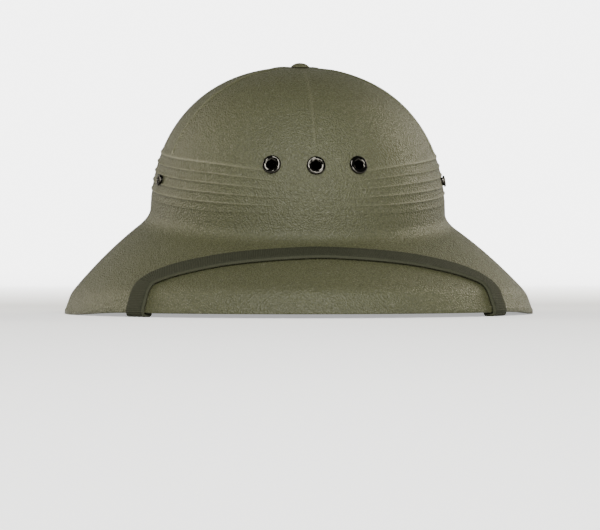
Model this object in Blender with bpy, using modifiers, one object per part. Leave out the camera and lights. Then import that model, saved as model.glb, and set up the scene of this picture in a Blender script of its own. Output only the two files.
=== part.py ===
"""Pith helmet: a moulded shell with pleats, seams and a sloping brim, vent eyelets,
a chin strap stowed over the front of the brim, and a headband inside.

Metres, +Z up. The front of the helmet faces -Y. It stands on its rim at z = 0, and the
origin is below the middle of the rim. A turn is an angle round the helmet, 0 at the front
and growing towards +X. A rise is a height above the crown's foot, along the crown's axis.
"""

import functools
import math

import bmesh
import bpy
from mathutils import Matrix, Vector

# Rim and flange
RIM_WIDTH = 0.310
RIM_LENGTH = 0.348
RIM_WIDEST_AHEAD = 0.017
RIM_FRONT_LIFT = 0.0024
RIM_LIFTED_TO_TURN = math.radians(50.0)
RIM_LEVEL_FROM_TURN = math.radians(80.0)
FLANGE_HEIGHT = 0.014
FLANGE_LEAN = 0.0035
LIP_WIDTH = 0.0040
LIP_HEIGHT = 0.0026
LIP_FLARE = 0.0008
LIP_BLEND = 0.0014

# Brim
BRIM_DROOP = 0.30
BEND_REACH = 0.004

# Crown, whose axis leans forward
WALL = 0.0025
CROWN_WIDTH = 0.1968
CROWN_LENGTH = 0.206
CROWN_HEIGHT = 0.1018
CROWN_FULLNESS = 2.245
CROWN_AHEAD = 0.010
CROWN_FOOT_HEIGHT = 0.0624
CROWN_TILT = math.radians(8.5)
FILLET_ON_CROWN = 0.007
FILLET_ON_BRIM = 0.010

# Pleats moulded round the crown, and the seams above them
PLEAT_COUNT = 5
PLEAT_PITCH_SIDE = 0.00605
PLEAT_PITCH_FRONT = 0.0048
PLEAT_GATHER = 4
PLEAT_LOWEST_SIDE = 0.0204
PLEAT_LOWEST_FRONT = 0.0214
PLEAT_RAISE = 0.0008
PLEAT_STEP = 0.0012
PLEAT_SHOULDER = 0.004
SEAM_COUNT = 5
SEAM_WIDTH = 0.0040
SEAM_RAISE = 0.0008
SEAM_WIDEST_SHARE = 0.18
FRONT_SEAM_FOOT = 0.060

# Button on the top, with its post
BUTTON_DIAMETER = 0.012
BUTTON_HEIGHT = 0.0030
BUTTON_EDGE = 0.0008
BUTTON_POST_DIAMETER = 0.0044
BUTTON_POST_BELOW_WALL = 0.0015
BUTTON_TO_SEAMS = 0.0012

# Eyelets: outer and bore diameters, with the metal's thickness and the flanges' height
FRONT_EYELET_DIAMETER = 0.0118
FRONT_EYELET_BORE = 0.0062
FRONT_EYELET_TURN = math.radians(17.5)
FRONT_EYELET_ABOVE_PLEATS = 0.0056
SIDE_EYELET_DIAMETER = 0.0076
SIDE_EYELET_BORE = 0.0044
SIDE_EYELET_TURN = math.radians(76.0)
SIDE_EYELET_RISE = 0.0288
EYELET_METAL = 0.0007
EYELET_FLANGE_HEIGHT = 0.0013
EYELET_ROLL_HEIGHT = 0.0010
EYELET_ROUNDING = 0.35
EYELET_CUT_LENGTH = 0.012

# Chin strap, and the loops that hold its ends inside
STRAP_WIDTH = 0.015
STRAP_THICKNESS = 0.0015
STRAP_RIM_TURN = math.radians(46.5)
STRAP_END_RISE = 0.026
LOOP_METAL = 0.0012
LOOP_HEIGHT = 0.005
LOOP_BELOW_STRAP_END = 0.006
LOOP_FOOT_WIDTH = 0.003

# Headband, level below and leaning with the crown above, and its hangers on the shell
HEADBAND_GAP_ASIDE = 0.0080
HEADBAND_GAP_AT_ENDS = 0.0100
HEADBAND_AHEAD_OF_CROWN = 0.002
HEADBAND_WIDTH = CROWN_WIDTH - 2.0 * HEADBAND_GAP_ASIDE
HEADBAND_LENGTH = CROWN_LENGTH - 2.0 * HEADBAND_GAP_AT_ENDS
HEADBAND_AHEAD = CROWN_AHEAD + HEADBAND_AHEAD_OF_CROWN
HEADBAND_THICKNESS = 0.0018
HEADBAND_FOOT_BELOW_CROWN = 0.0214
HEADBAND_FOOT_HEIGHT = CROWN_FOOT_HEIGHT - HEADBAND_FOOT_BELOW_CROWN
HEADBAND_TOP_RISE = 0.016
HANGER_WIDTH = 0.014
HANGER_HEIGHT = 0.010
HANGER_BELOW_BAND_TOP = 0.002
HANGER_FRONT_TURN = math.radians(70.0)
HANGER_BACK_TURN = math.radians(128.0)

# Clearances between pieces that touch: plain, between two faceted curves, and between a
# flat strap and the hollow side of the shell
CLEARANCE = 0.0003
CURVE_CLEARANCE = 0.0006
HOLLOW_CLEARANCE = 0.0011

# Facets
COLUMNS_PER_SEAM = 10
DOME_STEPS = 8
BRIM_STEPS = 4
CORNER_STEPS = 3
ROUTE_STEPS = 3
STRAP_END_STEPS = 3
BUTTON_ARC_STEPS = 4
BUTTON_SIDES = 16
EYELET_SIDES = 16
HEADBAND_SIDES = 48
SHARP_ANGLE = math.radians(40.0)
MERGE_DISTANCE = 0.00005

# Small steps that directions on the smooth faces are taken over
TURN_NUDGE = math.radians(0.5)
RISE_NUDGE = 0.0006
ACROSS_NUDGE = 0.01

# Route of the strap's right half over the brim: the turn as a share of the turn where it
# meets the rim, and the place across the brim as a share of the way from crown to flange
STRAP_ROUTE = (
    # turn, across
    (0.00, 0.35),
    (0.20, 0.38),
    (0.40, 0.44),
    (0.58, 0.52),
    (0.72, 0.61),
    (0.84, 0.70),
    (0.93, 0.79),
    (0.98, 0.86),
    (1.00, 0.92),
)

# Material colours: base colour, roughness, metallic
FINISHES = {
    "olive_shell": ((0.135, 0.130, 0.075, 1.0), 0.50, 0.0),
    "dark_metal": ((0.030, 0.030, 0.030, 1.0), 0.28, 1.0),
    "strap_web": ((0.030, 0.032, 0.020, 1.0), 0.70, 0.0),
    "black_band": ((0.012, 0.012, 0.010, 1.0), 0.75, 0.0),
}


def clear_scene():
    """Remove whatever the scene holds."""
    for thing in list(bpy.data.objects):
        bpy.data.objects.remove(thing)


def make_material(name):
    """One Principled material from the table of finishes."""
    colour, roughness, metallic = FINISHES[name]
    material = bpy.data.materials.new(name)
    material.use_nodes = True
    shader = material.node_tree.nodes["Principled BSDF"]
    shader.inputs["Base Color"].default_value = colour
    shader.inputs["Roughness"].default_value = roughness
    shader.inputs["Metallic"].default_value = metallic
    return material


def make_object(name, mesh, material, collection):
    """Put a mesh in the scene as a named object, shaded smooth with sharp edges kept."""
    thing = bpy.data.objects.new(name, mesh)
    collection.objects.link(thing)
    mesh.materials.clear()
    mesh.materials.append(material)
    mesh.shade_smooth()
    mesh.set_sharp_from_angle(angle=SHARP_ANGLE)
    return thing


def make_mesh(name, points, faces):
    """A mesh from lofted points and the faces between them."""
    mesh = bpy.data.meshes.new(name)
    mesh.from_pydata([tuple(point) for point in points], [], faces)
    mesh.update()
    return mesh


def smooth_step(share):
    """A share from 0 to 1, eased at both ends."""
    share = max(0.0, min(1.0, share))
    return share * share * (3.0 - 2.0 * share)


def crown_place(x, y, rise):
    """World place of a point that is given in the crown's leaning frame."""
    lean, upright = math.sin(CROWN_TILT), math.cos(CROWN_TILT)
    return Vector((
        x,
        -CROWN_AHEAD + y * upright - rise * lean,
        CROWN_FOOT_HEIGHT + y * lean + rise * upright,
    ))


def crown_point(turn, rise):
    """Smooth outer face of the crown, an oval dome."""
    up = min(rise / CROWN_HEIGHT, 1.0)
    out = (1.0 - up ** CROWN_FULLNESS) ** (1.0 / CROWN_FULLNESS)
    x = 0.5 * CROWN_WIDTH * out * math.sin(turn)
    y = -0.5 * CROWN_LENGTH * out * math.cos(turn)
    return crown_place(x, y, rise)


def rim_lift(turn):
    """Height of the lip over the floor: none at the sides and behind, a little in front."""
    aside = math.acos(max(-1.0, min(1.0, math.cos(turn))))
    span = RIM_LEVEL_FROM_TURN - RIM_LIFTED_TO_TURN
    return RIM_FRONT_LIFT * smooth_step((RIM_LEVEL_FROM_TURN - aside) / span)


def rim_reach(turn):
    """Length of the rim's oval ahead of its widest line, or behind it."""
    half = 0.5 * RIM_LENGTH
    return half - RIM_WIDEST_AHEAD if math.cos(turn) > 0.0 else half + RIM_WIDEST_AHEAD


def rim_point(turn, inward, height):
    """A point at the rim, some way in from its outermost edge and up from the lip."""
    edge = Vector((
        0.5 * RIM_WIDTH * math.sin(turn),
        -RIM_WIDEST_AHEAD - rim_reach(turn) * math.cos(turn),
        rim_lift(turn) + height,
    ))
    return edge - rim_outward(turn) * inward


def rim_outward(turn):
    """Level direction square to the rim's oval, away from the helmet."""
    x = math.sin(turn) / (0.5 * RIM_WIDTH)
    y = -math.cos(turn) / rim_reach(turn)
    return Vector((x, y, 0.0)).normalized()


def brim_run(turn):
    """Level distance from the crown's foot to the top of the flange."""
    way = flange_top(turn) - crown_point(turn, 0.0)
    return math.hypot(way.x, way.y)


def flange_top(turn):
    """Corner between the brim and its flange, before it is rounded."""
    return rim_point(turn, LIP_FLARE + FLANGE_LEAN, FLANGE_HEIGHT)


def brim_point(turn, across):
    """Smooth upper face of the brim, which droops more the further out it is."""
    foot = crown_point(turn, 0.0)
    corner = flange_top(turn)
    place = foot.lerp(corner, across)
    fall = across * (1.0 - BRIM_DROOP) + BRIM_DROOP * across * across
    place.z = foot.z + (corner.z - foot.z) * fall
    return place


def rounded_corner(before, corner, after):
    """Points of a soft corner, from one end of the curve to the other."""
    points = []
    for step in range(CORNER_STEPS + 1):
        share = step / CORNER_STEPS
        points.append(before.lerp(corner, share).lerp(corner.lerp(after, share), share))
    return points


def pleat_rise(turn, number):
    """Rise of a pleat's crest. Number 0 is the lowest. They draw together at the front."""
    ahead = math.cos(turn) ** 2
    pitch = PLEAT_PITCH_SIDE + (PLEAT_PITCH_FRONT - PLEAT_PITCH_SIDE) * ahead ** PLEAT_GATHER
    lowest = PLEAT_LOWEST_SIDE + (PLEAT_LOWEST_FRONT - PLEAT_LOWEST_SIDE) * ahead
    return lowest + number * pitch


def dome_rise(angle):
    """Rise at an angle up the dome's side, which keeps the steps even."""
    return CROWN_HEIGHT * math.sin(angle) ** (2.0 / CROWN_FULLNESS)


@functools.lru_cache(maxsize=None)
def section(turn):
    """The smooth outer line from the hole for the button's post down to the lip, at one turn.

    Each row is the place, its kind, and how far the relief lifts it off the smooth face.
    """
    hole_share = (0.5 * BUTTON_POST_DIAMETER + CLEARANCE) / (0.5 * CROWN_WIDTH)
    rows = [(crown_point(turn, dome_rise(math.acos(hole_share))), "hole", 0.0)]
    shoulder = pleat_rise(turn, PLEAT_COUNT - 1) + PLEAT_SHOULDER
    low = math.asin((shoulder / CROWN_HEIGHT) ** (CROWN_FULLNESS / 2.0))
    button_share = (0.5 * BUTTON_DIAMETER + BUTTON_TO_SEAMS) / (0.5 * CROWN_WIDTH)
    high = math.acos(button_share)
    for step in range(DOME_STEPS + 1):
        rise = dome_rise(high + (low - high) * step / DOME_STEPS)
        kind = "dome" if rise > FRONT_SEAM_FOOT else "low dome"
        rows.append((crown_point(turn, rise), kind if step else "top", 0.0))
    for number in reversed(range(PLEAT_COUNT)):
        crest = pleat_rise(turn, number)
        kind = "crest" if number % 2 == 0 else "pleat"
        rows.append((crown_point(turn, crest), kind, PLEAT_RAISE))
        rows.append((crown_point(turn, crest - PLEAT_STEP), "pleat", 0.0))
    run = brim_run(turn)
    inner = FILLET_ON_BRIM / run
    outer = 1.0 - BEND_REACH / run
    fillet = rounded_corner(
        crown_point(turn, FILLET_ON_CROWN), crown_point(turn, 0.0), brim_point(turn, inner))
    rows += [(place, "fillet", 0.0) for place in fillet]
    for step in range(1, BRIM_STEPS):
        across = inner + (outer - inner) * step / BRIM_STEPS
        rows.append((brim_point(turn, across), "brim", 0.0))
    foot = rim_point(turn, LIP_FLARE, LIP_HEIGHT + LIP_BLEND)
    corner = flange_top(turn)
    below = corner.lerp(foot, BEND_REACH / FLANGE_HEIGHT)
    bend = rounded_corner(brim_point(turn, outer), corner, below)
    rows += [(place, "bend", 0.0) for place in bend]
    rows.append((foot, "flange", 0.0))
    return rows


@functools.lru_cache(maxsize=None)
def section_normals(turn):
    """Outward normals of the smooth face at each row of a section."""
    here = [row[0] for row in section(turn)]
    left = [row[0] for row in section(turn - TURN_NUDGE)]
    right = [row[0] for row in section(turn + TURN_NUDGE)]
    normals = []
    for index in range(len(here)):
        above = here[max(index - 1, 0)]
        below = here[min(index + 1, len(here) - 1)]
        normals.append((below - above).cross(right[index] - left[index]).normalized())
    return normals


def section_at_height(turn, height, depth):
    """The point of a section at a world height, sunk below the smooth outer face."""
    rows, normals = section(turn), section_normals(turn)
    line = [row[0] - normal * depth for row, normal in zip(rows, normals)]
    for upper, lower in zip(line, line[1:]):
        if lower.z <= height <= upper.z:
            return lower.lerp(upper, (height - lower.z) / (upper.z - lower.z))
    return line[-1]


def shell_columns():
    """Number of a seam, flank of it and share of the panel after it, for each column."""
    columns = []
    for seam in range(SEAM_COUNT):
        columns += [(seam, 0, 0.0), (seam, 1, 0.0)]
        columns += [(seam, 1, k / COLUMNS_PER_SEAM) for k in range(1, COLUMNS_PER_SEAM)]
        columns.append((seam + 1, -1, 0.0))
    return columns


def column_turn(column, radius):
    """Turn of a column at a ring, so that a seam keeps its width up the dome."""
    seam, flank, share = column
    sector = 2.0 * math.pi / SEAM_COUNT
    aside = min(math.asin(min(0.5 * SEAM_WIDTH / radius, 1.0)), SEAM_WIDEST_SHARE * sector)
    return seam * sector + flank * aside + share * (sector - 2.0 * aside)


def make_shell(material, collection):
    """The moulded shell: outer face with its relief, flat lip, and smooth inner face."""
    columns = shell_columns()
    kinds = [row[1] for row in section(0.0)]
    outer = []
    inner = []
    for index, kind in enumerate(kinds):
        radius = (section(math.pi / 2.0)[index][0]).x
        outer_ring = []
        inner_ring = []
        for column in columns:
            turn = column_turn(column, min(radius, 0.5 * CROWN_WIDTH))
            place, _, relief = section(turn)[index]
            normal = section_normals(turn)[index]
            if column[1] == 0 and (kind == "dome" or kind == "low dome" and column[0] > 0):
                relief += SEAM_RAISE
            outer_ring.append(place + normal * relief)
            inner_ring.append(place - normal * WALL)
        outer.append(outer_ring)
        if kind not in ("pleat", "flange"):
            inner.append(inner_ring)
    turns = [column_turn(column, 0.5 * CROWN_WIDTH) for column in columns]
    lip_table = (
        # inward, height
        (0.0, LIP_HEIGHT),
        (0.0, 0.0),
        (LIP_WIDTH, 0.0),
        (LIP_WIDTH, LIP_HEIGHT),
        (LIP_FLARE + WALL, LIP_HEIGHT),
    )
    lip = [[rim_point(turn, inward, height) for turn in turns] for inward, height in lip_table]
    rings = outer + lip + inner[::-1]
    count = len(columns)
    points = [point for ring in rings for point in ring]
    faces = []
    for ring in range(len(rings)):
        for k in range(count):
            after = (k + 1) % count
            upper, lower = ring * count, (ring + 1) % len(rings) * count
            faces.append((upper + k, lower + k, lower + after, upper + after))
    return make_object("shell", make_mesh("shell", points, faces), material, collection)


def seat_frame(turn, rise):
    """Frame on the crown's outer face whose Z axis points straight out of it."""
    side = crown_point(turn + TURN_NUDGE, rise) - crown_point(turn - TURN_NUDGE, rise)
    up = crown_point(turn, rise + RISE_NUDGE) - crown_point(turn, rise - RISE_NUDGE)
    out = side.cross(up).normalized()
    facing = out.to_track_quat("Z", "Y").to_matrix().to_4x4()
    return Matrix.Translation(crown_point(turn, rise)) @ facing


def top_frame():
    """Frame on the very top of the crown, along its axis."""
    place = Matrix.Translation(crown_place(0.0, 0.0, CROWN_HEIGHT))
    return place @ Matrix.Rotation(CROWN_TILT, 4, "X")


def turned_piece(name, profile, closed, sides, frame, material, collection):
    """A round piece: a profile in its own X-Z plane, turned by a Screw modifier."""
    edges = [(k, k + 1) for k in range(len(profile) - 1)]
    if closed:
        edges.append((len(profile) - 1, 0))
    mesh = bpy.data.meshes.new(name)
    mesh.from_pydata([(radius, 0.0, height) for radius, height in profile], edges, [])
    thing = bpy.data.objects.new(name, mesh)
    collection.objects.link(thing)
    thing.matrix_world = frame
    mesh.materials.append(material)
    screw = thing.modifiers.new("turned", "SCREW")
    screw.steps = sides
    screw.render_steps = sides
    screw.use_merge_vertices = True
    screw.merge_threshold = MERGE_DISTANCE
    screw.use_smooth_shade = True
    return thing


def drill(shell, name, diameter, frame, cutters):
    """Cut a round hole through the shell, square to the frame."""
    mesh = bpy.data.meshes.new(name)
    shape = bmesh.new()
    bmesh.ops.create_cone(shape, cap_ends=True, segments=EYELET_SIDES, radius1=0.5 * diameter,
                          radius2=0.5 * diameter, depth=EYELET_CUT_LENGTH)
    shape.to_mesh(mesh)
    shape.free()
    cutter = bpy.data.objects.new(name, mesh)
    cutters.objects.link(cutter)
    cutter.matrix_world = frame
    cutter.hide_render = True
    cutter.display_type = "WIRE"
    cut = shell.modifiers.new(name, "BOOLEAN")
    cut.operation = "DIFFERENCE"
    cut.object = cutter


def eyelet_profile(diameter, bore, lift):
    """Closed section of an eyelet: rounded flange outside, barrel, rolled edge inside."""
    outer = 0.5 * diameter
    hole = 0.5 * bore
    barrel = hole + EYELET_METAL
    seat = lift + CLEARANCE
    top = seat + EYELET_FLANGE_HEIGHT
    back = -(WALL + CURVE_CLEARANCE)
    middle = 0.5 * (barrel + outer)
    rounding = EYELET_ROUNDING * EYELET_FLANGE_HEIGHT
    chamfer = EYELET_ROUNDING * EYELET_METAL
    return (
        (hole, top - rounding),
        (barrel, top),
        (middle, top),
        (outer - chamfer, top - rounding),
        (outer, seat + rounding),
        (outer - chamfer, seat),
        (barrel, seat),
        (barrel, back),
        (outer - EYELET_METAL, back),
        (outer - EYELET_METAL, back - rounding),
        (middle, back - EYELET_ROLL_HEIGHT),
        (hole, back - EYELET_ROLL_HEIGHT + chamfer),
    )


def make_eyelet(name, diameter, bore, turn, rise, lift, shell, material, collection, cutters):
    """An eyelet square to the crown, and the hole that its barrel goes through."""
    frame = seat_frame(turn, rise)
    profile = eyelet_profile(diameter, bore, lift)
    turned_piece(name, profile, True, EYELET_SIDES, frame, material, collection)
    hole = bore + 2.0 * (EYELET_METAL + CLEARANCE)
    drill(shell, "cut_" + name, hole, frame, cutters)


def make_eyelets(shell, material, collection, cutters):
    """Three eyelets over the pleats in front and a smaller one in them on each side."""
    rise = pleat_rise(0.0, PLEAT_COUNT - 1) + FRONT_EYELET_ABOVE_PLEATS
    for label, side in (("left", -1), ("middle", 0), ("right", 1)):
        make_eyelet("eyelet_front_" + label, FRONT_EYELET_DIAMETER, FRONT_EYELET_BORE,
                    side * FRONT_EYELET_TURN, rise, PLEAT_RAISE, shell, material, collection,
                    cutters)
    for label, side in (("left", -1), ("right", 1)):
        make_eyelet("eyelet_side_" + label, SIDE_EYELET_DIAMETER, SIDE_EYELET_BORE,
                    side * SIDE_EYELET_TURN, SIDE_EYELET_RISE, PLEAT_RAISE, shell, material,
                    collection, cutters)


def make_button(material, collection):
    """The low button on the top, with a plain post through the shell."""
    radius = 0.5 * BUTTON_DIAMETER
    post = 0.5 * BUTTON_POST_DIAMETER
    swell = BUTTON_HEIGHT - BUTTON_EDGE
    angles = [0.5 * math.pi * step / BUTTON_ARC_STEPS for step in range(BUTTON_ARC_STEPS + 1)]
    profile = [(radius * math.sin(a), BUTTON_EDGE + swell * math.cos(a)) for a in angles] + [
        (radius, CLEARANCE),
        (post, CLEARANCE),
        (post, -(WALL + BUTTON_POST_BELOW_WALL)),
        (0.0, -(WALL + BUTTON_POST_BELOW_WALL)),
    ]
    turned_piece("top_button", profile, False, BUTTON_SIDES, top_frame(), material, collection)


def eased_route(table):
    """A smooth curve through the rows of the strap's route."""
    rows = [Vector((-table[1][0], table[1][1]))] + [Vector(row) for row in table]
    rows.append(2.0 * rows[-1] - rows[-2])
    places = []
    for index in range(1, len(rows) - 2):
        before, start, end, after = rows[index - 1:index + 3]
        for step in range(ROUTE_STEPS):
            t = step / ROUTE_STEPS
            places.append(0.5 * ((2.0 * start) + (end - before) * t
                                 + (2.0 * before - 5.0 * start + 4.0 * end - after) * t * t
                                 + (3.0 * start - before - 3.0 * end + after) * t ** 3))
    places.append(rows[-2])
    return places


def brim_normal(turn, across):
    """Outward normal of the brim's upper face."""
    side = brim_point(turn + TURN_NUDGE, across) - brim_point(turn - TURN_NUDGE, across)
    down = brim_point(turn, across + ACROSS_NUDGE) - brim_point(turn, across - ACROSS_NUDGE)
    return down.cross(side).normalized()


def strap_stations():
    """Middle of the strap and the direction out of its face, from the front to its end."""
    stand_off = CURVE_CLEARANCE + 0.5 * STRAP_THICKNESS
    turn = STRAP_RIM_TURN
    outward = rim_outward(turn)
    down = Vector((0.0, 0.0, -1.0))
    stations = []
    for share, across in eased_route(STRAP_ROUTE):
        normal = brim_normal(share * turn, across)
        stations.append((brim_point(share * turn, across) + normal * stand_off, normal))
    rows, normals = section(turn), section_normals(turn)
    bend = [k for k, row in enumerate(rows) if row[1] == "bend"]
    for k in bend[1:]:
        stations.append((rows[k][0] + normals[k] * stand_off, normals[k]))
    lip_corners = (
        # inward, height, first angle under the lip, last angle
        (0.0, LIP_HEIGHT, 0.0, 0.0),
        (0.0, 0.0, 0.0, 90.0),
        (LIP_WIDTH, 0.0, 90.0, 180.0),
    )
    for inward, height, first, last in lip_corners:
        angles = (first, 0.5 * (first + last), last) if last > first else (first,)
        for angle in angles:
            away = outward * math.cos(math.radians(angle)) + down * math.sin(math.radians(angle))
            stations.append((rim_point(turn, inward, height) + away * stand_off, away))
    depth = WALL + HOLLOW_CLEARANCE + 0.5 * STRAP_THICKNESS
    inside = [k for k, row in enumerate(rows) if row[1] in ("bend", "brim", "fillet")]
    for k in reversed(inside[:-1]):
        stations.append((rows[k][0] - normals[k] * depth, -normals[k]))
    for step in range(1, STRAP_END_STEPS + 1):
        rise = FILLET_ON_CROWN + (STRAP_END_RISE - FILLET_ON_CROWN) * step / STRAP_END_STEPS
        out = seat_frame(turn, rise).to_3x3() @ Vector((0.0, 0.0, 1.0))
        stations.append((crown_point(turn, rise) - out * depth, -out))
    return stations


def make_strap(material, collection):
    """The chin strap: one half, open at the middle of the helmet, and its mirror image."""
    stations = strap_stations()
    half_width = 0.5 * STRAP_WIDTH
    half_thick = 0.5 * STRAP_THICKNESS
    corners = ((-1, 1), (0, 1), (1, 1), (1, -1), (0, -1), (-1, -1))
    points = []
    for index, (place, normal) in enumerate(stations):
        before = stations[max(index - 1, 0)][0]
        after = stations[min(index + 1, len(stations) - 1)][0]
        along = Vector((1.0, 0.0, 0.0)) if index == 0 else (after - before).normalized()
        across = normal.cross(along).normalized()
        face = along.cross(across).normalized()
        for side, level in corners:
            points.append(place + across * (side * half_width) + face * (level * half_thick))
    count = len(corners)
    faces = []
    for ring in range(len(stations) - 1):
        for k in range(count):
            after = (k + 1) % count
            near, far = ring * count, (ring + 1) * count
            faces.append((near + k, far + k, far + after, near + after))
    last = (len(stations) - 1) * count
    faces.append(tuple(last + k for k in reversed(range(count))))
    strap = make_object("chin_strap", make_mesh("chin_strap", points, faces), material, collection)
    mirror = strap.modifiers.new("other_half", "MIRROR")
    mirror.use_axis = (True, False, False)
    mirror.use_clip = True
    mirror.merge_threshold = MERGE_DISTANCE
    return strap


def block(name, near, far, material, collection):
    """A block between two grids of points that face each other, row by row."""
    rows, columns = len(near), len(near[0])
    points = [point for grid in (near, far) for row in grid for point in row]
    back = rows * columns
    faces = []
    for r in range(rows - 1):
        for k in range(columns - 1):
            a, b = r * columns + k, (r + 1) * columns + k
            faces.append((a, a + 1, b + 1, b))
            faces.append((back + a, back + b, back + b + 1, back + a + 1))
        a, b = r * columns, (r + 1) * columns
        faces.append((a, b, back + b, back + a))
        a, b = a + columns - 1, b + columns - 1
        faces.append((a, back + a, back + b, b))
    for k in range(columns - 1):
        faces.append((k, back + k, back + k + 1, k + 1))
        a = (rows - 1) * columns + k
        faces.append((a, a + 1, back + a + 1, back + a))
    mesh = make_mesh(name, points, faces)
    shape = bmesh.new()
    shape.from_mesh(mesh)
    bmesh.ops.recalc_face_normals(shape, faces=shape.faces)
    shape.to_mesh(mesh)
    shape.free()
    return make_object(name, mesh, material, collection)


def make_strap_loops(material, collection):
    """A plain loop over each end of the strap, with its feet on the shell's inner face."""
    half = 0.5 * STRAP_WIDTH
    seat = HOLLOW_CLEARANCE
    under = seat + STRAP_THICKNESS + CLEARANCE
    over = under + LOOP_METAL
    foot_in = half + CLEARANCE
    foot_out = foot_in + LOOP_FOOT_WIDTH
    outline = (
        # along the rim, away from the shell
        (-foot_out, seat), (-foot_in, seat), (-foot_in, under), (foot_in, under),
        (foot_in, seat), (foot_out, seat), (foot_out, over), (-foot_out, over),
    )
    rise = STRAP_END_RISE - LOOP_BELOW_STRAP_END
    for label, side in (("left", -1), ("right", 1)):
        frame = seat_frame(side * STRAP_RIM_TURN, rise)
        name = "strap_loop_" + label
        curve = bpy.data.curves.new(name, "CURVE")
        curve.dimensions = "2D"
        curve.fill_mode = "BOTH"
        curve.extrude = 0.5 * LOOP_HEIGHT
        spline = curve.splines.new("POLY")
        spline.points.add(len(outline) - 1)
        spline.use_cyclic_u = True
        for point, (x, y) in zip(spline.points, outline):
            point.co = (x, y, 0.0, 1.0)
        thing = bpy.data.objects.new(name, curve)
        collection.objects.link(thing)
        curve.materials.append(material)
        inside = Matrix.Translation((0.0, 0.0, -WALL)) @ Matrix.Rotation(-0.5 * math.pi, 4, "X")
        thing.matrix_world = frame @ inside


def crown_level(y, rise):
    """World height of the leaning level at a rise, over a place along the helmet."""
    along = y + CROWN_AHEAD + rise * math.sin(CROWN_TILT)
    return CROWN_FOOT_HEIGHT + along * math.tan(CROWN_TILT) + rise * math.cos(CROWN_TILT)


def make_headband(material, collection):
    """The headband: an open oval wall with its thickness turned inward."""
    mesh = bpy.data.meshes.new("headband")
    shape = bmesh.new()
    bmesh.ops.create_cone(shape, cap_ends=False, segments=HEADBAND_SIDES,
                          radius1=0.5 * HEADBAND_WIDTH,
                          radius2=0.5 * HEADBAND_WIDTH, depth=1.0)
    for vertex in shape.verts:
        vertex.co.y = vertex.co.y * HEADBAND_LENGTH / HEADBAND_WIDTH - HEADBAND_AHEAD
        if vertex.co.z > 0.0:
            vertex.co.z = crown_level(vertex.co.y, HEADBAND_TOP_RISE)
        else:
            vertex.co.z = HEADBAND_FOOT_HEIGHT
    shape.to_mesh(mesh)
    shape.free()
    band = make_object("headband", mesh, material, collection)
    wall = band.modifiers.new("wall", "SOLIDIFY")
    wall.thickness = HEADBAND_THICKNESS
    wall.offset = -1.0
    wall.use_even_offset = True
    return band


def make_hangers(material, collection):
    """Plain spacers between the headband and the shell, which carry the band."""
    places = (
        # name, turn
        ("hanger_front_left", -HANGER_FRONT_TURN),
        ("hanger_front_right", HANGER_FRONT_TURN),
        ("hanger_back_left", -HANGER_BACK_TURN),
        ("hanger_back_right", HANGER_BACK_TURN),
    )
    top = HEADBAND_TOP_RISE - HANGER_BELOW_BAND_TOP
    spread = HANGER_WIDTH / (0.5 * (HEADBAND_WIDTH + HEADBAND_LENGTH))
    for name, middle in places:
        near = []
        far = []
        for rise in (top - HANGER_HEIGHT, top - 0.5 * HANGER_HEIGHT, top):
            near_row = []
            far_row = []
            for step in (-1.0, 0.0, 1.0):
                turn = middle + step * spread
                x = (0.5 * HEADBAND_WIDTH + CLEARANCE) * math.sin(turn)
                y = -HEADBAND_AHEAD - (0.5 * HEADBAND_LENGTH + CLEARANCE) * math.cos(turn)
                on_band = Vector((x, y, crown_level(y, rise)))
                near_row.append(on_band)
                far_row.append(section_at_height(turn, on_band.z, WALL + CURVE_CLEARANCE))
            near.append(near_row)
            far.append(far_row)
        block(name, near, far, material, collection)


def main():
    """Build every piece of the helmet."""
    clear_scene()
    helmet = bpy.data.collections.new("pith_helmet")
    cutters = bpy.data.collections.new("cutters")
    bpy.context.scene.collection.children.link(helmet)
    bpy.context.scene.collection.children.link(cutters)
    finish = {name: make_material(name) for name in FINISHES}
    shell = make_shell(finish["olive_shell"], helmet)
    make_eyelets(shell, finish["dark_metal"], helmet, cutters)
    make_button(finish["olive_shell"], helmet)
    make_strap(finish["strap_web"], helmet)
    make_strap_loops(finish["dark_metal"], helmet)
    make_headband(finish["black_band"], helmet)
    make_hangers(finish["black_band"], helmet)


if __name__ == "__main__":
    main()
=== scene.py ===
"""Looks of a pith helmet that rests on its rim.

The packed solids are the frame. Each operator makes one piece, or one group of like pieces,
over them, and the last one makes the floor, the lights and the camera. Metres, +Z up, with
the front of the helmet towards -Y. A turn is an angle round the helmet, 0 at the front and
growing towards +X. A rise is a height above the crown's foot, along the crown's own axis.
"""

import math

import bpy
import numpy as np
from mathutils import Matrix, Vector


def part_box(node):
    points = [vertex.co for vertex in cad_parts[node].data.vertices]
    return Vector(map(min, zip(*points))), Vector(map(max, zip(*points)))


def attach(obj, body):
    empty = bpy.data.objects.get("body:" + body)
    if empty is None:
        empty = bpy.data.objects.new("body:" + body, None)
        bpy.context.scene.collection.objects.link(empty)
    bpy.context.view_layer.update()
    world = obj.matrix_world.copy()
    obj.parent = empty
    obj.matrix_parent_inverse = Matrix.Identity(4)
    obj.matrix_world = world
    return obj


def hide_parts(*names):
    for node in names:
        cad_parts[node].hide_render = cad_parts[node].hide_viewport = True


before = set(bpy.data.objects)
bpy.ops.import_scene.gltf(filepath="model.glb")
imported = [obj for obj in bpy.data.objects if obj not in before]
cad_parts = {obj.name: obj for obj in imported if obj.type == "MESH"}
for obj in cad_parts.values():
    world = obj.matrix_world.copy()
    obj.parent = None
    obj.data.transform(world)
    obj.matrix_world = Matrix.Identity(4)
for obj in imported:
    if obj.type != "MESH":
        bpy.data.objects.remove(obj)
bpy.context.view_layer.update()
SHELL_LOW, SHELL_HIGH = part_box("shell")
BODY = "root"

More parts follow.
